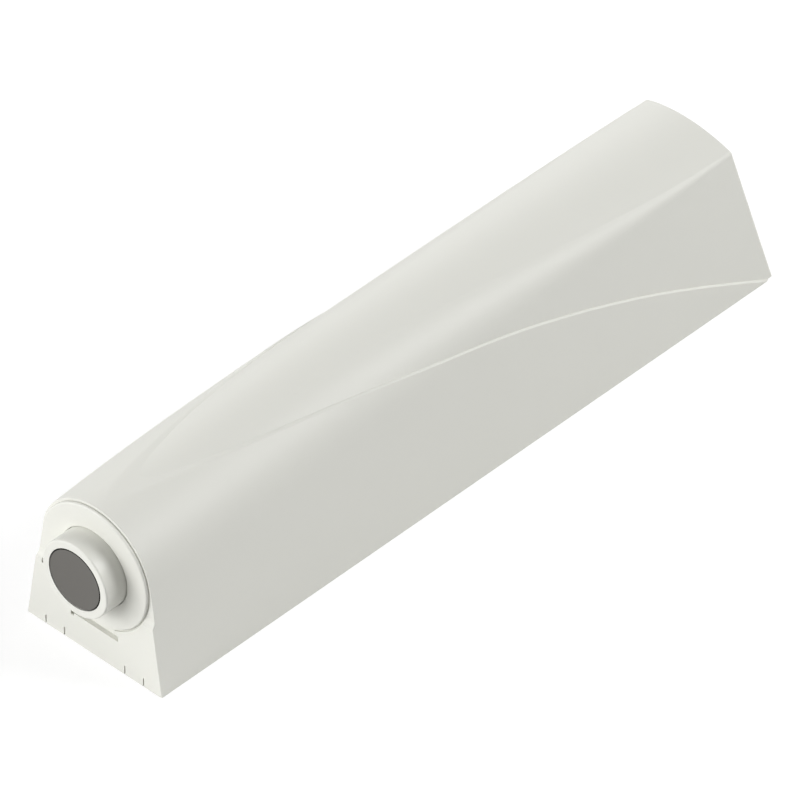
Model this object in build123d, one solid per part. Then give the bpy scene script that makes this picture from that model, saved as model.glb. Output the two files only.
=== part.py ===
from build123d import *
import os
from math import acos, asin, atan2, cos, hypot, pi, sin, sqrt

# A magnetic touch latch: a push-to-release cartridge in a screw-on housing, in millimetres.
# X runs across, Z up, and Y from the front face, where the plunger is, towards the rear.
# Everything is drawn from the middle of the front face's lower edge. At the end it is moved
# so that the origin lies on the underside, halfway between the two screw holes.

# Housing
body_length = 80.45
base_width = 17.0
axis_height = 10.72        # cartridge axis above the mounting face
wall = 1.2
rear_lean = 0.168          # the rear face leans forwards by this much for each unit of height
rear_round = 0.25
front_wall = 2.5
arch_over = 0.07           # the arch stands out this much round the collar
rim_setback = 0.37         # the arch starts this far behind the flat chin
rim_sweep = 1.1            # radius of the hollow that leads from the chin back to the arch
rim_round = 0.06
chin_drop = 3.17           # the chin's flat ends this far below the cartridge axis
crease_step = 0.2          # the back of the housing lies this much inside its front,
crease_bevel = 0.12        # and the step's outer edge is bevelled

# Shoulder of the housing at stations along its length: share of the length, shoulder
# centre across and above the cartridge axis, shoulder radius, crown radius.
# The front one follows the collar, so it has only its centre and what its crown adds.
front_shoulder = (0.03, 0.0)
front_crown_extra = 0.1
mid_shoulders = [
    (0.25, 0.43, 1.26, 6.35, 7.9),
    (0.50, 1.43, 2.24, 4.93, 9.35),
    (0.75, 3.65, 3.08, 2.5, 11.7),
]
rear_shoulder = (1.00, 4.96, 3.85, 0.55, 14.5)
least_shoulder = 0.3       # inside the wall the shoulder stays at least this round,
tuck_across = 0.87         # and its centre moves in by these shares of what that adds
tuck_down = 0.73

# The crease in the side view, from below the foot of the rear face to before the front rim:
# shares of the housing's length and of its height above the front face
crease_curve = [
    (1.025, -0.075), (0.9456, 0.100), (0.8249, 0.349), (0.7014, 0.559), (0.5767, 0.727),
    (0.467, 0.836), (0.36, 0.9185), (0.25, 0.973), (0.075, 1.0089), (-0.05, 0.9929),
]

# Cartridge barrel with its collar
collar_radius = 6.78
collar_thick = 0.3
collar_round = 0.2
hub_radius = 6.1           # behind its thin lip the collar is smaller and thicker
hub_thick = 1.3
collar_gap = 0.02          # between the collar's edge and its recess
recess_bevel = 0.1         # bevel round the recess, on the chin
mouth_radius = 4.22
barrel_radius = 5.0
barrel_bore = 4.15
seat_gap = 0.05            # barrel in the housing's bores
catch_reach = 0.25
catch_length = 1.2
catch_width = 3.0

# Plunger
tip_out = 2.5              # how far the tip stands in front of the face when latched
plunger_radius = 4.1
tip_round = 0.15
stroke = 12.0
over_travel = 1.5
guide_left = 8.0           # plunger still inside the barrel when fully out
magnet_radius = 3.25
magnet_length = 3.0
magnet_sunk = 0.1
magnet_gap = 0.02
backing_thick = 1.0
web_thick = 1.5
socket_radius = 2.6        # bore of the plunger that takes the push rod
ring_wire = 0.5            # section radius of the damping ring
ring_place = 4.0           # distance of the damping ring from the plunger's rear end

# Cam mechanism
track_bore = 3.06          # bore of the cam sleeve
rod_radius = 3.0
key_reach = 3.95           # outer radius of the push rod's keys
key_width = 1.4
key_length = 2.5
groove_play = 0.1
groove_count = 4
flange_thick = 1.0
sleeve_ring = 1.2          # closed ring at the front of the cam sleeve
free_end = 0.3             # spare room at each end of the travel
tooth_height = 0.9
mesh_gap = 0.2
lug_reach = 4.0
lug_length = 3.0
nose_radius = 1.5
nose_length = 4.0          # depth of the nose's hole in the push rod
nose_play = 0.5
tail_radius = 1.9
tail_length = 2.6
washer_thick = 0.6
running_gap = 0.06

# Spring and end cap
spring_length = 8.9
spring_radius = 2.5
wire_radius = 0.3
spring_turns = 5.5
cap_plug = 1.5
cap_flange = 1.0
spigot_length = 2.5
cap_pin_radius = 0.5
buffer_thick = 0.5
buffer_radius = 3.5
fit_gap = 0.02             # pressed or snapped pieces of one body

# Base plate
plate_thick = 1.6
plate_gap = 0.12
screw_front = 14.0
screw_spacing = 52.0
screw_radius = 1.8
screw_head_radius = 3.5
boss_height = 3.0
boss_radius = 4.6
tongue_inner = 3.9
tongue_outer = 6.12
tongue_height = 1.0
tongue_root = 1.5          # overlap with the plate behind the front wall
tongue_gap = 0.14
arm_places = (33.0, 61.0)
arm_length = 5.0
arm_thick = 1.1
arm_top = 5.2
barb_reach = 0.35
barb_height = 0.9
saddle_places = (29.0, 41.0)
saddle_thick = 1.2
saddle_width = 8.0

# Webs inside the housing and marks on its face
web_places = (21.4, 46.4)
web_thick_inside = 1.2
web_foot = 3.4
slot_half = 3.0
slot_drop = 7.3            # the release slot's lower edge lies this far below the cartridge axis
slot_height = 0.93
slot_depth = 0.5
notch_width = 0.4          # a deeper notch at the slot's left end
notch_height = 0.6
notch_depth = 1.6
blade_slit_x = -6.48       # a slit for a thin blade, beside the collar's edge
blade_slit_drop = 2.55     # its middle lies this far below the cartridge axis
blade_slit_length = 2.1
blade_slit_width = 0.2
blade_slit_depth = 1.8
blade_slit_lean = 6.0      # degrees, as the housing's side leans

big = 120.0                # larger than the part, for half spaces
past = 1.0                 # how far a cut runs past the face it opens
touch = 0.001              # points nearer than this are on a face

# Places along the cartridge, from the front to the rear, with the plunger latched
pocket_end = magnet_sunk - tip_out + magnet_length + backing_thick
tube_end = stroke + guide_left
flange_end = tube_end + flange_thick
sleeve_front = flange_end + over_travel + free_end
keys_front = sleeve_front + sleeve_ring + free_end + stroke
keys_end = keys_front + key_length
rotor_root = keys_end + 2 * tooth_height + mesh_gap
sleeve_root = rotor_root - mesh_gap - tooth_height
rotor_end = rotor_root + lug_length
washer_end = rotor_end + washer_thick
plug_front = washer_end + spring_length
flange_front = plug_front + cap_plug
barrel_length = flange_front + cap_flange
stop_web_end = barrel_length + buffer_thick + web_thick_inside

# Sizes that follow from the ones above
groove_width = key_width + 2 * groove_play
tooth_phase = -asin(groove_width / 2 / track_bore) * 180 / pi
ring_centre = barrel_bore - fit_gap - ring_wire


# Helpers

def bar(radius, start, end):
    """A round bar about the cartridge axis."""
    return Pos(0, (start + end) / 2, axis_height) * Rot(90, 0, 0) * Cylinder(radius, end - start)


def turned(*points):
    """A solid of revolution about the cartridge axis, from (place along Y, radius) points."""
    outline = Polyline(*[(0, y, axis_height + r) for y, r in points], close=True)
    return revolve(make_face(outline), Axis((0, 0, axis_height), (0, 1, 0)), 360)


def rounded_rim(shape, place, radius, rounding):
    """A turned shape with the rim at that place and radius rounded."""
    rims = [e for e in shape.edges() if e.geom_type == GeomType.CIRCLE]
    rims = [e for e in rims if abs((e @ 0).Y - place) < touch and abs(e.radius - radius) < touch]
    return shape.fillet(rounding, rims)


def block(x, y, z):
    """A box from its (low, high) pairs."""
    size = (x[1] - x[0], y[1] - y[0], z[1] - z[0])
    centre = ((x[0] + x[1]) / 2, (y[0] + y[1]) / 2, (z[0] + z[1]) / 2)
    return Pos(*centre) * Box(*size)


def mirrored(shape):
    """The shape and its twin on the other side of the middle plane."""
    return [shape, mirror(shape, Plane.YZ)]


def around(shape, count):
    """Copies of a shape turned about the cartridge axis."""
    return [about_axis(360 / count * i) * shape for i in range(count)]


def about_axis(angle):
    """The turn by an angle about the cartridge axis."""
    return Pos(0, 0, axis_height) * Rot(0, angle, 0) * Pos(0, 0, -axis_height)


def combine(first, others):
    """The first shape with all of the others joined to it."""
    for other in others:
        first += other
    return first


def cut(first, others):
    """The first shape with all of the others taken out of it."""
    for other in others:
        first -= other
    return first


def across(outline):
    """A prism across the whole housing, from an outline in the plane x = -big."""
    return extrude(make_face(outline), amount=2 * big, dir=(1, 0, 0))


# Housing form

def stations():
    """The five stations, the first of which follows the collar."""
    arch = collar_radius + arch_over
    return [(0.0, *front_shoulder, arch, arch + front_crown_extra), *mid_shoulders, rear_shoulder]


def front_height():
    """Height of the housing's crown at the front face."""
    _, across_mid, above_axis, shoulder, crown = stations()[0]
    return axis_height + above_axis + crown - sqrt((crown - shoulder) ** 2 - across_mid ** 2)


def section(station, inset):
    """One section: flat base, leaning sides, round shoulders and a shallow crown."""
    share, across_mid, above_axis, shoulder, crown = station
    radius = max(shoulder - inset, least_shoulder)
    added = radius - (shoulder - inset)
    cx = across_mid - tuck_across * added
    cz = axis_height + above_axis - tuck_down * added
    crown_r = crown - inset
    half = base_width / 2 - inset
    to_base = atan2(-cz, half - cx)
    side_angle = to_base + acos(radius / hypot(half - cx, cz))
    crown_z = cz - sqrt((crown_r - radius) ** 2 - cx ** 2)
    crown_angle = atan2(cz - crown_z, cx)
    y = share * body_length

    def on_shoulder(angle, side):
        return (side * (cx + radius * cos(angle)), y, cz + radius * sin(angle))

    middle = (side_angle + crown_angle) / 2
    right = [on_shoulder(a, 1) for a in (side_angle, middle, crown_angle)]
    left = [on_shoulder(a, -1) for a in (crown_angle, middle, side_angle)]
    edges = [
        Line((-half, y, 0), (half, y, 0)),
        Line((half, y, 0), right[0]),
        ThreePointArc(*right),
        ThreePointArc(right[2], (0, y, crown_z + crown_r), left[0]),
        ThreePointArc(*left),
        Line(left[2], (-half, y, 0)),
    ]
    return make_face(edges)


def form(inset=0.0):
    """The housing's outer form, moved inwards by inset."""
    return loft([section(station, inset) for station in stations()])


def behind_rear(inset=0.0):
    """The space behind the leaning rear face."""
    foot = body_length - inset * sqrt(1 + rear_lean ** 2)
    lean = rear_lean * big
    points = [(foot + lean, -big), (foot + big, -big), (foot + big, big), (foot - lean, big)]
    return across(Polyline(*[(-big, y, z) for y, z in points], close=True))


def crease_line():
    """The crease in the plane x = -big, from its foot at the rear to the front."""
    top = front_height()
    return Spline(*[(-big, y * body_length, z * top) for y, z in crease_curve])


def above_crease():
    """The space above and behind the crease that sweeps up both sides."""
    line = crease_line()
    foot, front = line @ 0, line @ 1
    corners = [(-big, front.Y, big), (-big, foot.Y + big, big), (-big, foot.Y + big, foot.Z)]
    return across([line, Polyline(front, *corners, foot)])


def edges_on(shape, distance, lowest):
    """The shape's edges above a height that lie where distance(point) is zero."""
    near = [e for e in shape.edges() if all(abs(distance(e @ t)) < touch for t in (0, 0.5, 1))]
    return [e for e in near if (e @ 0.5).Z > lowest + touch]


def stepped():
    """The outer form with the step along the crease, whose outer edge is bevelled."""
    line = crease_line()
    skin = form().shell()
    shape = form() - (above_crease() - form(crease_step))
    near = edges_on(shape, lambda p: line.distance_to(Vector(-big, p.Y, p.Z)), 0)
    outer_edges = [e for e in near if skin.distance_to(e @ 0.5) < touch]
    return shape.chamfer(crease_bevel, None, outer_edges)


def before_arch():
    """The space in front of the arch's set-back face, hollow where it meets the chin."""
    foot = axis_height - chin_drop
    run = sqrt(rim_sweep ** 2 - (rim_sweep - rim_setback) ** 2)
    half_angle = asin(run / rim_sweep) / 2
    middle_y = rim_setback - rim_sweep * (1 - cos(half_angle))
    middle = (-big, middle_y, foot + run - rim_sweep * sin(half_angle))
    hollow = ThreePointArc((-big, 0, foot), middle, (-big, rim_setback, foot + run))
    corners = [(rim_setback, big), (-big, big), (-big, foot)]
    rest = Polyline(hollow @ 1, *[(-big, y, z) for y, z in corners], hollow @ 0)
    return across([hollow, rest])


def slab(start, end, low, high, inset):
    """A slice of the housing's form, between two places along it and two heights."""
    return form(inset) & block((-big, big), (start, end), (low, high))


def make_housing():
    """The moulded cover: open underneath, with a collar recess, bored webs and catches inside."""
    outer = stepped() - before_arch()
    outer -= behind_rear()
    rim = edges_on(outer, lambda p: p.Y - rim_setback, axis_height - chin_drop)
    outer = outer.fillet(rim_round, rim)
    rear = edges_on(outer, lambda p: p.Y - body_length + rear_lean * p.Z, 0)
    outer = outer.fillet(rear_round, rear)
    shell = outer - (slab(front_wall, body_length, -past, big, wall) - behind_rear(wall))
    inside = form(wall / 2)
    for place in (*web_places, stop_web_end - web_thick_inside):
        shell += inside & block((-big, big), (place, place + web_thick_inside), (web_foot, big))
    shell -= bar(barrel_radius + seat_gap, 0, barrel_length) + bar(hub_radius + seat_gap, 0, hub_thick)
    recess = collar_radius + collar_gap
    shell -= bar(recess, -past, collar_thick)
    wide = recess + recess_bevel + past
    shell -= turned((-past, 0), (-past, wide), (recess_bevel, recess), (recess_bevel, 0))
    low = axis_height - slot_drop
    shell -= block((-slot_half, slot_half), (-past, slot_depth), (low, low + slot_height))
    notch_z = (low - notch_height / 2, low + notch_height / 2)
    shell -= block((-slot_half, notch_width - slot_half), (-past, notch_depth), notch_z)
    mouth_x = (tongue_inner - tongue_gap, tongue_outer + tongue_gap)
    shell = cut(shell, mirrored(block(mouth_x, (-past, front_wall + past), (-past, tongue_height))))
    shell -= blade_slit()
    low = arm_top - barb_height - plate_gap
    for place in arm_places:
        start, end = place - plate_gap, place + arm_length + plate_gap
        shell -= slab(start, end, low, arm_top + plate_gap, wall - barb_reach - plate_gap)
    return shell


def blade_slit():
    """The narrow slit on the left of the collar; the collar's edge covers its upper end."""
    slit = Box(blade_slit_width, 2 * blade_slit_depth, blade_slit_length)
    return Pos(blade_slit_x, 0, axis_height - blade_slit_drop) * Rot(0, blade_slit_lean, 0) * slit


# Base plate

def make_base_plate():
    """The plate that is screwed down first: tongues in front, snap arms and saddles on top."""
    gap = wall + plate_gap
    plate = slab(front_wall + plate_gap, body_length, 0, plate_thick, gap)
    tongue_end = front_wall + plate_gap + tongue_root
    tongue = block((tongue_inner, tongue_outer), (0, tongue_end), (0, tongue_height))
    plate = combine(plate, mirrored(tongue))
    for place in arm_places:
        end = place + arm_length
        arm = slab(place, end, 0, arm_top, gap) - form(gap + arm_thick)
        barb = slab(place, end, arm_top - barb_height, arm_top, wall - barb_reach) - form(gap)
        plate += arm + barb
    for place in saddle_places:
        end = place + saddle_thick
        sides = (-saddle_width / 2, saddle_width / 2)
        saddle = block(sides, (place, end), (0, axis_height - barrel_radius / 2))
        plate += saddle - bar(barrel_radius + seat_gap, place - past, end + past)
    sink = screw_head_radius - screw_radius
    boss = Pos(0, 0, boss_height / 2) * Cylinder(boss_radius, boss_height)
    head = Pos(0, 0, boss_height - sink / 2) * Cone(screw_radius, screw_head_radius, sink)
    for place in (screw_front, screw_front + screw_spacing):
        plate += Pos(0, place, 0) * boss
        plate -= Pos(0, place, 0) * (head + Cylinder(screw_radius, big))
    return plate - behind_rear(gap)


# Barrel

def make_barrel():
    """The round barrel and its collar, with catches behind the first web and a cross hole."""
    outline = [
        (0, mouth_radius), (0, collar_radius), (collar_thick, collar_radius),
        (collar_thick, hub_radius), (hub_thick, hub_radius), (hub_thick, barrel_radius),
        (barrel_length - cap_flange, barrel_radius), (barrel_length - cap_flange, barrel_bore),
        (mouth_radius - barrel_bore, barrel_bore),
    ]
    barrel = rounded_rim(turned(*outline), 0, collar_radius, collar_round)
    start = web_places[0] + web_thick_inside + plate_gap
    end = start + catch_length
    inner = (barrel_bore + barrel_radius) / 2
    tip = (start, barrel_radius + catch_reach)
    catch = turned((start, inner), tip, (end, barrel_radius), (end, inner))
    barrel += catch & block((-catch_width / 2, catch_width / 2), (0, big), (0, big))
    return barrel - cross_hole(cap_pin_radius)


def cross_hole(radius, length=2 * big):
    """The pin's place, across the barrel and its end cap."""
    middle = barrel_length - cap_flange - cap_plug / 2
    return Pos(0, middle, axis_height) * Rot(0, 90, 0) * Cylinder(radius, length)


# Cam: eight saw teeth round the axis, every other one ending in a groove

def saw_gaps(inner, outer, base, facing_rear):
    """What is cut from a bar between base and base + tooth_height to leave a ring of saw teeth."""
    count = 2 * groove_count
    share = 2 * pi / count
    reach = (inner + outer) / 2 * sin(share)
    top = base + tooth_height
    edge = (big * sin(share), axis_height + big * cos(share))
    pie = Plane.XZ * make_face(Polyline((0, axis_height), (0, axis_height + big), edge, close=True))
    pie = Pos(0, base - tooth_height, 0) * extrude(pie, amount=-3 * tooth_height)
    far = top + tooth_height if facing_rear else base - tooth_height
    flank = Polyline((0, base), (reach, top), (big, top), (big, far), (0, far), close=True)
    gap = pie & extrude(make_face(flank), amount=big)
    return around(about_axis(tooth_phase) * gap, count)


def fins(reach, width, start, end):
    """Four flat fins about the cartridge axis, for keys, grooves and lugs."""
    fin = block((-width / 2, width / 2), (start, end), (axis_height, axis_height + reach))
    return around(fin & bar(reach, start, end), groove_count)


def make_cam_sleeve():
    """A ring with four long fingers: the plunger's keys and the rotor's lugs run between them."""
    outer = barrel_bore - fit_gap
    tips = sleeve_root + tooth_height
    sleeve = bar(outer, sleeve_front, tips) - bar(track_bore, sleeve_front - past, tips + past)
    sleeve = cut(sleeve, saw_gaps(track_bore, outer, sleeve_root, True))
    return cut(sleeve, fins(barrel_radius, groove_width, sleeve_front + sleeve_ring, tips + past))


def make_push_rod():
    """Snapped into the plunger in front, with keys and a crown of teeth behind."""
    rod = bar(socket_radius - fit_gap, pocket_end + web_thick, tube_end)
    rod += bar(plunger_radius - ring_wire / 2, tube_end, flange_end)
    rod += bar(rod_radius, flange_end, keys_end + tooth_height)
    rod = combine(rod, fins(key_reach, key_width, keys_front, keys_end))
    rod = cut(rod, saw_gaps(nose_radius, rod_radius, keys_end, True))
    return rod - bar(nose_radius + running_gap, keys_end - nose_length, big)


def make_rotor():
    """The turning cam: teeth and lugs in front, a nose in the push rod and a tail in the spring."""
    front = rotor_root - tooth_height
    rotor = bar(rod_radius - running_gap, front, rotor_end)
    rotor = cut(rotor, saw_gaps(nose_radius, rod_radius, front, False))
    lugs = fins(lug_reach, key_width, rotor_root, rotor_end)
    rotor = combine(rotor, [lug - flank for lug, flank in zip(lugs, lug_flanks())])
    rotor += bar(nose_radius, keys_end - nose_length + nose_play, rotor_end)
    return rotor + bar(tail_radius, rotor_root, rotor_end + tail_length)


def lug_flanks():
    """What is cut from the front of each lug so that it lies on the sleeve's teeth."""
    slope = tooth_height / (track_bore * sin(pi / groove_count))
    half = key_width / 2
    rise = slope * key_width
    corners = [(-half, rotor_root), (half, rotor_root), (half, rotor_root + rise)]
    outline = make_face(Polyline(*corners, close=True))
    wedge = Pos(0, 0, axis_height + nose_radius) * extrude(outline, amount=big)
    return around(wedge, groove_count)


# Plunger

def make_plunger():
    """The hollow plunger: a pocket for the magnet in front, the push rod's socket behind."""
    front = -tip_out
    pocket = magnet_radius + magnet_gap
    groove_front = tube_end - ring_place - ring_wire - magnet_gap
    groove_rear = tube_end - ring_place + ring_wire + magnet_gap
    groove_floor = ring_centre - ring_wire
    web_end = pocket_end + web_thick
    plunger = turned(
        (front, pocket), (front, plunger_radius), (groove_front, plunger_radius),
        (groove_front, groove_floor), (groove_rear, groove_floor), (groove_rear, plunger_radius),
        (tube_end, plunger_radius), (tube_end, socket_radius), (web_end, socket_radius),
        (web_end, 0), (pocket_end, 0), (pocket_end, pocket),
    )
    return rounded_rim(plunger, front, plunger_radius, tip_round)


def make_magnet():
    """A round magnet with a small bevel round its face."""
    front = magnet_sunk - tip_out
    bevel = magnet_gap + magnet_sunk
    return turned((front, 0), (front, magnet_radius - bevel), (front + bevel, magnet_radius),
                  (front + magnet_length, magnet_radius), (front + magnet_length, 0))


def make_damping_ring():
    """A rubber ring that slows the plunger in the barrel."""
    ring = Rot(90, 0, 0) * Torus(ring_centre, ring_wire)
    return Pos(0, tube_end - ring_place, axis_height) * ring


# Spring and rear end

def make_washer():
    """A steel washer between the turning rotor and the spring, small enough for the cam sleeve."""
    hole = bar(tail_radius + running_gap, rotor_end, washer_end)
    return bar(rod_radius - running_gap, rotor_end, washer_end) - hole


def make_spring():
    """The compression spring between the washer and the end cap."""
    height = spring_length - 2 * wire_radius - 2 * fit_gap
    helix = Helix(height / spring_turns, height, spring_radius)
    coil = sweep(Plane(helix @ 0, z_dir=helix % 0) * Circle(wire_radius), path=helix, is_frenet=True)
    return Pos(0, washer_end + wire_radius + fit_gap, axis_height) * Rot(-90, 0, 0) * coil


def make_end_cap():
    """Closes the barrel and guides the spring; a cross pin holds it."""
    cap = bar(tail_radius, plug_front - spigot_length, plug_front)
    cap += bar(barrel_bore - fit_gap, plug_front, flange_front)
    cap += bar(barrel_radius, flange_front, barrel_length)
    return cap - cross_hole(cap_pin_radius)


# Sub-parts

parts = {
    "housing_cover": make_housing(),
    "base_plate": make_base_plate(),
    "barrel": make_barrel(),
    "cam_sleeve": make_cam_sleeve(),
    "end_cap": make_end_cap(),
    "end_cap_pin": cross_hole(cap_pin_radius - fit_gap / 2, 2 * barrel_radius - 2 * fit_gap),
    "rear_buffer": bar(buffer_radius, barrel_length, barrel_length + buffer_thick),
    "plunger_tube": make_plunger(),
    "push_rod": make_push_rod(),
    "magnet": make_magnet(),
    "magnet_backing": bar(magnet_radius, pocket_end - backing_thick, pocket_end),
    "damping_ring": make_damping_ring(),
    "thrust_washer": make_washer(),
    "cam_rotor": make_rotor(),
    "main_spring": make_spring(),
}

origin = Pos(0, -screw_front - screw_spacing / 2, 0)
os.makedirs("parts", exist_ok=True)
for name, shape in parts.items():
    solid = origin * shape
    export_step(solid, f"parts/{name}.step")
    print(name, len(solid.solids()), round(solid.volume, 2))
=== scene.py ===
"""Looks of a magnetic touch latch: moulded plastic housing, plunger cartridge and magnet.

Laid out as an add-on and run as a script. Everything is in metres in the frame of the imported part.
"""

from math import pi, radians

import bmesh
import bpy
from mathutils import Euler, Matrix, Vector


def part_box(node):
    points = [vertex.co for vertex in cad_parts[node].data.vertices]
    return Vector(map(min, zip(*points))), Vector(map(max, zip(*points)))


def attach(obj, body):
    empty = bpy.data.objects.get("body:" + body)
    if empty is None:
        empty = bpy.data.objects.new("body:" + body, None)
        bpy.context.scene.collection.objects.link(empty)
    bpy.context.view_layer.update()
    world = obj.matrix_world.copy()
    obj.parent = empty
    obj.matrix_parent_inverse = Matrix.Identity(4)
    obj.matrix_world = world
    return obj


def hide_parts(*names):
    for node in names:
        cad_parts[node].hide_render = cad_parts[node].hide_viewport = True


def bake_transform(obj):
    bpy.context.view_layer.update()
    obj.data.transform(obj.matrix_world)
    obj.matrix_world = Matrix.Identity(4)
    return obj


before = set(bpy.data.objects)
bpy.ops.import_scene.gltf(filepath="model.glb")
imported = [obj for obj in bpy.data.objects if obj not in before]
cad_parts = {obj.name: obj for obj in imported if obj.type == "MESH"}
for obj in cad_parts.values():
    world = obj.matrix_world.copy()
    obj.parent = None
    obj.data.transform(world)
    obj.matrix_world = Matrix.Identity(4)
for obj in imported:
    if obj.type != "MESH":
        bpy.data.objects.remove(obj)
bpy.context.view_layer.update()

bl_info = {
    "name": "Touch latch",
    "version": (1, 0, 0),
    "blender": (4, 5, 0),
    "location": "3D View > Sidebar > Touch latch",
    "description": "Dresses the packed touch latch and sets up its studio",
    "category": "Object",
}

MM = 0.001

# Plastic: the melt's flow shows over this length, as these shares of tone and gloss
FLOW_MM = 9.0
FLOW_TONE = 0.985
FLOW_GLOSS = 0.03
POLISH_SPREAD = 0.05       # a metal's roughness varies by this much
FLOW_DETAIL = 3.0          # how finely the noise behind the flow is broken up,
GRAIN_DETAIL = 2.0         # and that behind a moulded grain,
POLISH_DETAIL = 4.0        # and that behind a metal's polish

# Meshes
MERGE_MM = 0.0005          # points nearer than this are one
SHARP_ANGLE = radians(30)
ROUND_STEPS = 160
LIP_THICK_MM = 0.31        # the barrel's lip ends before this far behind its front
LIP_BACK_MM = 0.3          # its back face is this far behind the front,
LIP_REACH_MM = 0.06        # and moves back by this much to lie against the arch
HUB_RADIUS_MM = 6.3        # and all that is further from the axis belongs to it
BEVEL_SLANT = (0.3, 0.95)  # on the bevel, the normal's part along the axis is between these; those faces take the painted shade
FLAT_WEIGHT = 100          # large faces alone set the normals of a stiff piece

# Stage
FLOOR_HALF = 0.3           # metres to the floor's edge, inside the lamps; past it is white
FLOOR_DROP_MM = 0.02       # it lies this far under the object
FLOOR_PAINT = 0.35         # it is this pale where it takes the object's shadow,
FLOOR_GLOW = 0.75          # glows this much to the camera, so that lit it is white,
FLOOR_BOUNCE = 0.75        # and is this pale to the light that it throws back
WHITE = (1.0, 1.0, 1.0, 1.0)
SENSOR_MM = 36.0
LOOK_AT_MM = (0, -1.75, 6.8)           # what the camera is aimed at,
LOOK_ASIDE_MM = (1.064, -0.236, 0)     # moved right and up in the picture for its framing
LAMP_DISTANCE = 1.2        # metres
LAMPS = (  # name, direction from the object, width in metres, watts
    ("front_lamp", (-0.45, -0.88, 0.2), 1.2, 22.6),
    ("top_lamp", (0, 0, 1), 1.2, 2.9),
    ("rear_lamp", (0.05, 0.9, 0.4), 1.2, 1.9),
    ("right_rear_lamp", (0.6, 0.5, 0.62), 0.5, 10.0),
    ("left_rear_lamp", (-0.7, 0.7, 0.15), 0.5, 3.5),
)


# Sizes and colours that a user would change

def hex_colour(name, code, description):
    """A colour property whose default is written as an sRGB hex code."""
    return bpy.props.StringProperty(name=name, default=code, description=description)


class LATCH_PG_finishes(bpy.types.PropertyGroup):
    """Colours of the latch's materials."""

    cover: hex_colour("Cover", "#DFDFD8", "Moulded ABS of the housing")
    cartridge: hex_colour("Cartridge", "#DFDFD8", "Acetal of the barrel and the plunger")
    cam: hex_colour("Cam sleeve", "#A4A6A4", "Grey acetal of the cam sleeve and end cap")
    rotor: hex_colour("Rotor", "#3C4044", "Dark acetal of the turning cam")
    magnet: hex_colour("Magnet", "#6E6C68", "Nickel plate on the magnet")
    # The magnet's edge colour is painted shade: near black, it stands in for the shadowed floor that
    # the bevel reflects
    magnet_edge_shade: hex_colour("Magnet's edge", "#1A1917", "Thin plating on the magnet's bevel")
    steel: hex_colour("Steel", "#9A9B9C", "Steel of the hidden spring, pin and discs")
    rubber: hex_colour("Rubber", "#1C1C1C", "Rubber of the damping ring and the rear pad")


class LATCH_PG_sizes(bpy.types.PropertyGroup):
    """Sizes of the pieces that are made here."""

    lip_radius: bpy.props.FloatProperty(
        name="Lip radius", default=6.64 * MM, min=6.2 * MM, subtype="DISTANCE", unit="LENGTH",
        description="Radius of the barrel's thin lip, which leaves the arch's rim in view",
    )
    magnet_bevel: bpy.props.FloatProperty(
        name="Magnet bevel", default=0.13 * MM, min=0.02 * MM, subtype="DISTANCE", unit="LENGTH",
        description="Width of the ground bevel round the magnet's face",
    )


class LATCH_PG_studio(bpy.types.PropertyGroup):
    """Camera and light."""

    azimuth: bpy.props.FloatProperty(
        name="Azimuth", default=radians(44.07), subtype="ANGLE",
        description="Turn of the camera from the front towards the right side",
    )
    elevation: bpy.props.FloatProperty(
        name="Elevation", default=radians(41.57), subtype="ANGLE",
        description="Height of the camera above the horizon, as an angle",
    )
    lens: bpy.props.FloatProperty(
        name="Lens", default=1400.0, min=50.0, max=1600.0, subtype="DISTANCE_CAMERA",
        description="Focal length, long for a nearly parallel view. "
                    "Past about 1700 the other views are empty",
    )
    view_width: bpy.props.FloatProperty(
        name="View width", default=72.92 * MM, min=0.01, subtype="DISTANCE", unit="LENGTH",
        description="Width of what the picture shows at the object",
    )
    world_strength: bpy.props.FloatProperty(
        name="Sky", default=0.0, min=0.0, description="Strength of the even light from all round",
    )


# Nodes and materials

def linear(code):
    """An sRGB hex code as a linear RGBA colour."""
    parts = [int(code[i:i + 2], 16) / 255 for i in (1, 3, 5)]
    return (*[c / 12.92 if c <= 0.04045 else ((c + 0.055) / 1.055) ** 2.4 for c in parts], 1.0)


def grey(level):
    """A plain grey of a linear level."""
    return (level, level, level, 1.0)


def add_node(tree, kind, inputs=None, **settings):
    """Adds a node with its settings; an input is a value or another node's output socket."""
    node = tree.nodes.new(kind)
    for name, value in settings.items():
        setattr(node, name, value)
    for name, value in (inputs or {}).items():
        if isinstance(value, bpy.types.NodeSocket):
            tree.links.new(value, node.inputs[name])
        else:
            node.inputs[name].default_value = value
    return node


def new_material(name):
    """An empty node material and its tree."""
    material = bpy.data.materials.new(name)
    material.use_nodes = True
    material.node_tree.nodes.clear()
    return material, material.node_tree


def finish_surface(tree, shader):
    """Links a shader to the material's output."""
    add_node(tree, "ShaderNodeOutputMaterial", {"Surface": shader.outputs[0]})


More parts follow.
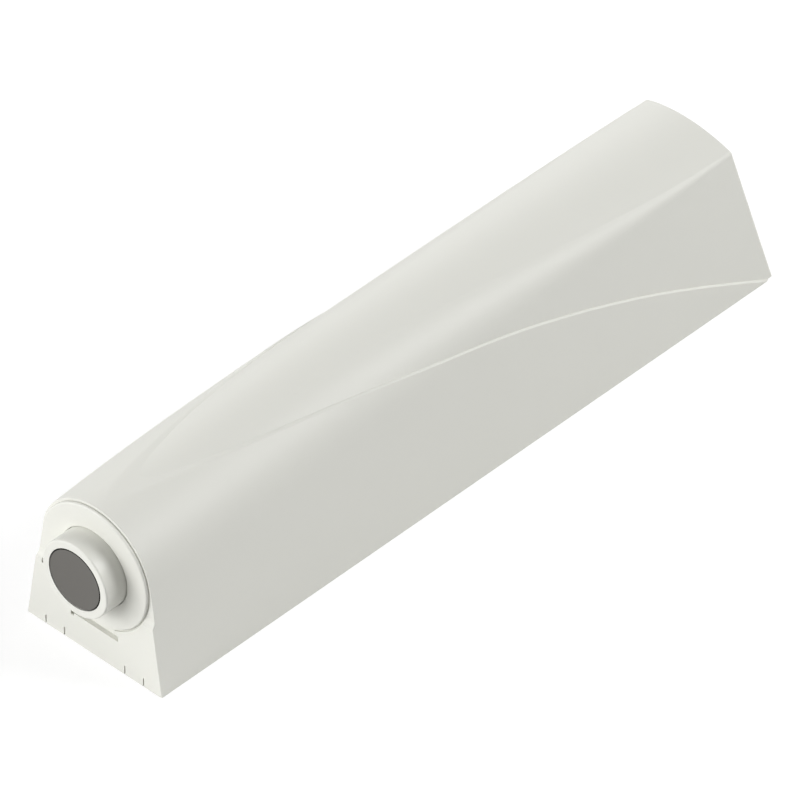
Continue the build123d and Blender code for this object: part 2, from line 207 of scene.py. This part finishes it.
def plastic(name, code, roughness, ior, grain_mm, grain_depth_mm):
    """Moulded plastic: an even grain, and a slow drift of tone and gloss as the melt flowed."""
    material, tree = new_material(name)
    place = add_node(tree, "ShaderNodeTexCoord").outputs["Object"]
    drift = add_node(tree, "ShaderNodeTexNoise", {
        "Vector": place, "Scale": 1 / (FLOW_MM * MM), "Detail": FLOW_DETAIL,
    })
    grain = add_node(tree, "ShaderNodeTexNoise", {
        "Vector": place, "Scale": 1 / (grain_mm * MM), "Detail": GRAIN_DETAIL,
    })
    base = linear(code)
    tone = add_node(tree, "ShaderNodeValToRGB", {"Fac": drift.outputs["Fac"]})
    tone.color_ramp.elements[0].color = [c * FLOW_TONE for c in base[:3]] + [1.0]
    tone.color_ramp.elements[1].color = base
    gloss = add_node(tree, "ShaderNodeMapRange", {
        "Value": drift.outputs["Fac"],
        "To Min": roughness - FLOW_GLOSS, "To Max": roughness + FLOW_GLOSS,
    })
    bump = add_node(tree, "ShaderNodeBump", {
        "Height": grain.outputs["Fac"], "Distance": grain_depth_mm * MM, "Strength": 1.0,
    })
    shader = add_node(tree, "ShaderNodeBsdfPrincipled", {
        "Base Color": tone.outputs["Color"], "Roughness": gloss.outputs["Result"], "IOR": ior,
        "Normal": bump.outputs["Normal"],
    })
    finish_surface(tree, shader)
    return material


def metal(name, code, roughness, grain_mm, tone_spread):
    """Plated or drawn metal: a fine uneven polish that also shades its colour a little."""
    material, tree = new_material(name)
    place = add_node(tree, "ShaderNodeTexCoord").outputs["Object"]
    grain = add_node(tree, "ShaderNodeTexNoise", {
        "Vector": place, "Scale": 1 / (grain_mm * MM), "Detail": POLISH_DETAIL,
    })
    base = linear(code)
    tone = add_node(tree, "ShaderNodeValToRGB", {"Fac": grain.outputs["Fac"]})
    tone.color_ramp.elements[0].color = [c * (1 - tone_spread) for c in base[:3]] + [1.0]
    tone.color_ramp.elements[1].color = base
    gloss = add_node(tree, "ShaderNodeMapRange", {
        "Value": grain.outputs["Fac"],
        "To Min": roughness - POLISH_SPREAD, "To Max": roughness + POLISH_SPREAD,
    })
    shader = add_node(tree, "ShaderNodeBsdfPrincipled", {
        "Base Color": tone.outputs["Color"], "Roughness": gloss.outputs["Result"],
        "Metallic": 1.0,
    })
    finish_surface(tree, shader)
    return material


def eroded_abs(colours):
    """The housing's plastic."""
    # ABS from a spark-eroded mould: matt off-white, soft broad highlights, a grain too fine
    # to see at arm's length. The real grain is about 0.05 mm; it is drawn coarser to show.
    return plastic(
        "abs_off_white_eroded", colours.cover,
        roughness=0.55, ior=1.53, grain_mm=0.16, grain_depth_mm=0.0012,
    )


def smooth_acetal(colours):
    """The plastic of the barrel, the plunger and the push rod."""
    # Acetal from a polished mould: slightly waxy, smoother and a little glossier than the
    # housing, so its round edges carry a narrower highlight. The faint orange peel is
    # about 0.25 mm across, on the other two acetals as well.
    return plastic(
        "acetal_off_white_moulded", colours.cartridge,
        roughness=0.40, ior=1.48, grain_mm=0.25, grain_depth_mm=0.0006,
    )


def grey_acetal(colours):
    """The plastic of the cam sleeve and the end cap."""
    # Natural grey acetal: the same waxy gloss, a plain mid grey that shows no dirt.
    return plastic(
        "acetal_grey_moulded", colours.cam,
        roughness=0.36, ior=1.48, grain_mm=0.25, grain_depth_mm=0.0006,
    )


def dark_acetal(colours):
    """The plastic of the turning cam."""
    # Acetal filled with lubricant: dark, with an oily soft sheen on its teeth.
    return plastic(
        "acetal_dark_lubricated", colours.rotor,
        roughness=0.33, ior=1.48, grain_mm=0.25, grain_depth_mm=0.0006,
    )


def nitrile_rubber(colours):
    """The rubber of the damping ring and the rear pad."""
    # Moulded nitrile rubber: nearly black and dull, with a fine bloom. The bloom's specks
    # are smaller than 0.1 mm; they are drawn coarser to show.
    return plastic(
        "nitrile_rubber_moulded", colours.rubber,
        roughness=0.72, ior=1.52, grain_mm=0.10, grain_depth_mm=0.0020,
    )


def nickel_plate(colours):
    """The magnet's face."""
    # Nickel barrel-plated over a sintered magnet: a dull grey mirror, finely mottled by the
    # sintered grain under it. The grain is 0.01 mm; it is drawn coarser to show.
    return metal(
        "nickel_barrel_plated", colours.magnet, roughness=0.35, grain_mm=0.30, tone_spread=0.06,
    )


def nickel_edge_painted_shade(colours):
    """The bevel round the magnet's face, painted dark as shade."""
    # The bevel is painted near black as painted shade: it stands in for the shadowed floor under the
    # latch that the bevel reflects.
    # The sintered grain is drawn coarser here too, but finer than on the face, because the bevel is
    # narrow.
    return metal(
        "nickel_bevel_painted_shade", colours.magnet_edge_shade,
        roughness=0.30, grain_mm=0.20, tone_spread=0.10,
    )


def drawn_steel(colours):
    """The spring, the cross pin, the washer and the disc behind the magnet."""
    # Bright drawn spring steel: clean grey metal with a soft, slightly uneven polish. The
    # marks of drawing are finer than 0.1 mm; they are drawn coarser to show.
    return metal(
        "spring_steel_drawn", colours.steel, roughness=0.30, grain_mm=0.40, tone_spread=0.08,
    )


def dress(node, material):
    """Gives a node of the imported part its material."""
    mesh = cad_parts[node].data
    mesh.materials.clear()
    mesh.materials.append(material)


# Pieces made here

def copy_of(node):
    """A copy of a node's mesh with its loose triangles merged."""
    bm = bmesh.new()
    bm.from_mesh(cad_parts[node].data)
    bmesh.ops.remove_doubles(bm, verts=bm.verts, dist=MERGE_MM * MM)
    return bm


def new_piece(bm, name, node, materials):
    """Makes the mesh a piece that stands for a node."""
    bmesh.ops.recalc_face_normals(bm, faces=bm.faces)
    mesh = bpy.data.meshes.new(name)
    bm.to_mesh(mesh)
    bm.free()
    mesh.shade_smooth()
    mesh.set_sharp_from_angle(angle=SHARP_ANGLE)
    for material in materials:
        mesh.materials.append(material)
    piece = bpy.data.objects.new(name, mesh)
    bpy.context.scene.collection.objects.link(piece)
    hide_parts(node)
    return piece


def add_piece(bm, name, node, body, materials):
    """Makes a stiff piece that rides on its node's body and keeps its flat faces flat."""
    piece = new_piece(bm, name, node, materials)
    flat = piece.modifiers.new("flat_faces_stay_flat", "WEIGHTED_NORMAL")
    flat.weight = FLAT_WEIGHT
    flat.keep_sharp = True
    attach(piece, body)


def add_barrel(sizes, material):
    """The barrel with its lip drawn in, so that the arch's rim shows round it."""
    low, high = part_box("barrel")
    full_radius = (high[0] - low[0]) / 2
    axis = Vector(((low[0] + high[0]) / 2, 0, (low[2] + high[2]) / 2))
    bm = copy_of("barrel")
    lip = [
        v for v in bm.verts
        if v.co.y < low[1] + LIP_THICK_MM * MM
        and (v.co.xz - axis.xz).length > HUB_RADIUS_MM * MM
    ]
    share = sizes.lip_radius / full_radius
    bmesh.ops.scale(bm, vec=(share, 1, share), space=Matrix.Translation(-axis), verts=lip)
    lip_back = [v for v in bm.verts if abs(v.co.y - low[1] - LIP_BACK_MM * MM) < MERGE_MM * MM]
    bmesh.ops.translate(bm, vec=(0, LIP_REACH_MM * MM, 0), verts=lip_back)
    add_piece(bm, "barrel_with_lip", "barrel", "housing", [material])


def add_magnet(sizes, face_material, bevel_shade_material):
    """A round magnet whose face has a ground bevel."""
    low, high = (Vector(corner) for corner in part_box("magnet"))
    low.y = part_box("plunger_tube")[0][1]
    centre = (low + high) / 2
    radius = (high.x - low.x) / 2
    bm = bmesh.new()
    bmesh.ops.create_cone(
        bm, cap_ends=True, segments=ROUND_STEPS, radius1=radius, radius2=radius,
        depth=high.y - low.y,
    )
    upright = Matrix.Rotation(pi / 2, 4, "X")
    bmesh.ops.transform(bm, matrix=Matrix.Translation(centre) @ upright, verts=bm.verts)
    rim = [e for e in bm.edges if all(v.co.y < low.y + MERGE_MM * MM for v in e.verts)]
    bmesh.ops.bevel(
        bm, geom=rim, offset=sizes.magnet_bevel, affect="EDGES", segments=1, profile=0.5,
        material=-1,
    )
    bm.normal_update()
    # Bevel faces take the near-black material: painted shade for the floor's shadow that they
    # reflect
    least, most = BEVEL_SLANT
    for face in bm.faces:
        face.material_index = int(least < abs(face.normal.y) < most)
    materials = [face_material, bevel_shade_material]
    add_piece(bm, "magnet_bevelled", "magnet", "plunger", materials)


def add_spring(material):
    """The spring: a merged copy of its node, with its placing baked into the mesh."""
    bm = copy_of("main_spring")
    spring = new_piece(bm, "spring_stretching", "main_spring", [material])
    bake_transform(spring)


# Stage

def aim_camera(studio):
    """The photograph's near-parallel view, from the front right and above."""
    data = bpy.data.cameras.new("camera")
    data.lens = studio.lens
    data.sensor_width = SENSOR_MM
    distance = studio.view_width * studio.lens / data.sensor_width
    data.clip_end = 2 * distance
    turn = Euler((pi / 2 - studio.elevation, 0, studio.azimuth))
    axes = turn.to_matrix()
    middle = Vector(LOOK_AT_MM) * MM + axes @ Vector(LOOK_ASIDE_MM) * MM
    camera = bpy.data.objects.new("camera", data)
    camera.rotation_euler = turn
    camera.location = middle + axes @ Vector((0, 0, distance))
    bpy.context.scene.collection.objects.link(camera)
    bpy.context.scene.camera = camera


def lamp(name, direction, width, watts):
    """A square soft lamp that shines on the object from a direction."""
    data = bpy.data.lights.new(name, "AREA")
    data.size = width
    data.energy = watts
    light = bpy.data.objects.new(name, data)
    towards = Vector(direction).normalized()
    light.location = towards * LAMP_DISTANCE
    light.rotation_euler = towards.to_track_quat("Z", "Y").to_euler()
    bpy.context.scene.collection.objects.link(light)


def seen_directly(tree):
    """1 for what the camera, a reflection or clear material shows, and 0 for scattered light."""
    path = add_node(tree, "ShaderNodeLightPath")
    mirrored = add_node(tree, "ShaderNodeMath", {
        0: path.outputs["Is Glossy Ray"], 1: path.outputs["Is Transmission Ray"],
    }, operation="MAXIMUM")
    return add_node(tree, "ShaderNodeMath", {
        0: path.outputs["Is Camera Ray"], 1: mirrored.outputs[0],
    }, operation="MAXIMUM").outputs[0]


def make_floor():
    """A pale studio floor: white to the camera, with the object's soft shadow."""
    mesh = bpy.data.meshes.new("studio_floor")
    bm = bmesh.new()
    bmesh.ops.create_grid(bm, x_segments=1, y_segments=1, size=FLOOR_HALF)
    bmesh.ops.translate(bm, verts=bm.verts, vec=(0, 0, -FLOOR_DROP_MM * MM))
    bm.to_mesh(mesh)
    bm.free()
    floor = bpy.data.objects.new("studio_floor", mesh)
    bpy.context.scene.collection.objects.link(floor)
    material, tree = new_material("white_painted_floor")
    seen = seen_directly(tree)
    paint = add_node(tree, "ShaderNodeBsdfDiffuse", {"Color": grey(FLOOR_PAINT)})
    bounce = add_node(tree, "ShaderNodeBsdfDiffuse", {"Color": grey(FLOOR_BOUNCE)})
    glow = add_node(tree, "ShaderNodeEmission", {"Color": WHITE, "Strength": FLOOR_GLOW})
    both = add_node(tree, "ShaderNodeAddShader", {0: paint.outputs[0], 1: glow.outputs[0]})
    mixed = add_node(tree, "ShaderNodeMixShader", {
        0: seen, 1: bounce.outputs[0], 2: both.outputs[0],
    })
    finish_surface(tree, mixed)
    mesh.materials.append(material)


def light_world(studio):
    """Even light from all round, and plain white where the camera sees past the floor."""
    world = bpy.data.worlds.new("studio")
    bpy.context.scene.world = world
    world.use_nodes = True
    tree = world.node_tree
    tree.nodes.clear()
    sky = add_node(tree, "ShaderNodeBackground", {
        "Color": WHITE, "Strength": studio.world_strength,
    })
    white = add_node(tree, "ShaderNodeBackground", {"Color": WHITE, "Strength": 1.0})
    mixed = add_node(tree, "ShaderNodeMixShader", {
        0: seen_directly(tree), 1: sky.outputs[0], 2: white.outputs[0],
    })
    add_node(tree, "ShaderNodeOutputWorld", {"Surface": mixed.outputs[0]})


# Operators

class LATCH_OT_stage(bpy.types.Operator):
    """Sets up the camera, the lamps, the sky and the floor"""

    bl_idname = "latch.stage"
    bl_label = "Studio"

    def execute(self, context):
        studio = context.scene.latch_studio
        context.scene.view_settings.view_transform = "Standard"
        aim_camera(studio)
        light_world(studio)
        make_floor()
        for name, direction, width, watts in LAMPS:
            lamp(name, direction, width, watts)
        return {"FINISHED"}


class LATCH_OT_housing(bpy.types.Operator):
    """Dresses the housing cover and the base plate"""

    bl_idname = "latch.housing"
    bl_label = "Housing"

    def execute(self, context):
        cover = eroded_abs(context.scene.latch_finishes)
        for node in ("housing_cover", "base_plate"):
            dress(node, cover)
        return {"FINISHED"}


class LATCH_OT_barrel(bpy.types.Operator):
    """Makes the barrel with its lip and dresses the plunger like it"""

    bl_idname = "latch.barrel"
    bl_label = "Barrel and plunger"

    def execute(self, context):
        acetal = smooth_acetal(context.scene.latch_finishes)
        add_barrel(context.scene.latch_sizes, acetal)
        for node in ("plunger_tube", "push_rod"):
            dress(node, acetal)
        return {"FINISHED"}


class LATCH_OT_magnet(bpy.types.Operator):
    """Makes the magnet with its ground bevel"""

    bl_idname = "latch.magnet"
    bl_label = "Magnet"

    def execute(self, context):
        colours = context.scene.latch_finishes
        add_magnet(context.scene.latch_sizes, nickel_plate(colours), nickel_edge_painted_shade(colours))
        return {"FINISHED"}


class LATCH_OT_mechanism(bpy.types.Operator):
    """Makes the spring and dresses what is hidden in the barrel"""

    bl_idname = "latch.mechanism"
    bl_label = "Mechanism"

    def execute(self, context):
        colours = context.scene.latch_finishes
        steel = drawn_steel(colours)
        add_spring(steel)
        finishes = (
            (grey_acetal(colours), ("cam_sleeve", "end_cap")),
            (dark_acetal(colours), ("cam_rotor",)),
            (steel, ("end_cap_pin", "magnet_backing", "thrust_washer")),
            (nitrile_rubber(colours), ("damping_ring", "rear_buffer")),
        )
        for material, nodes in finishes:
            for node in nodes:
                dress(node, material)
        return {"FINISHED"}


class LATCH_PT_panel(bpy.types.Panel):
    """Lists the pieces of the latch"""

    bl_label = "Touch latch"
    bl_idname = "LATCH_PT_panel"
    bl_space_type = "VIEW_3D"
    bl_region_type = "UI"
    bl_category = "Touch latch"

    def draw(self, context):
        for operator in OPERATORS:
            self.layout.operator(operator.bl_idname)


OPERATORS = (
    LATCH_OT_stage, LATCH_OT_housing, LATCH_OT_barrel, LATCH_OT_magnet, LATCH_OT_mechanism,
)
CLASSES = (LATCH_PG_finishes, LATCH_PG_sizes, LATCH_PG_studio, *OPERATORS, LATCH_PT_panel)


def register():
    """Registers the classes and hangs the settings on the scene."""
    for cls in CLASSES:
        bpy.utils.register_class(cls)
    bpy.types.Scene.latch_finishes = bpy.props.PointerProperty(type=LATCH_PG_finishes)
    bpy.types.Scene.latch_sizes = bpy.props.PointerProperty(type=LATCH_PG_sizes)
    bpy.types.Scene.latch_studio = bpy.props.PointerProperty(type=LATCH_PG_studio)


def unregister():
    """Takes the settings and the classes away again."""
    del bpy.types.Scene.latch_studio
    del bpy.types.Scene.latch_sizes
    del bpy.types.Scene.latch_finishes
    for cls in reversed(CLASSES):
        bpy.utils.unregister_class(cls)


def main():
    """Registers the add-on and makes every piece."""
    register()
    bpy.ops.latch.stage()
    bpy.ops.latch.housing()
    bpy.ops.latch.barrel()
    bpy.ops.latch.magnet()
    bpy.ops.latch.mechanism()


if __name__ == "__main__":
    main()
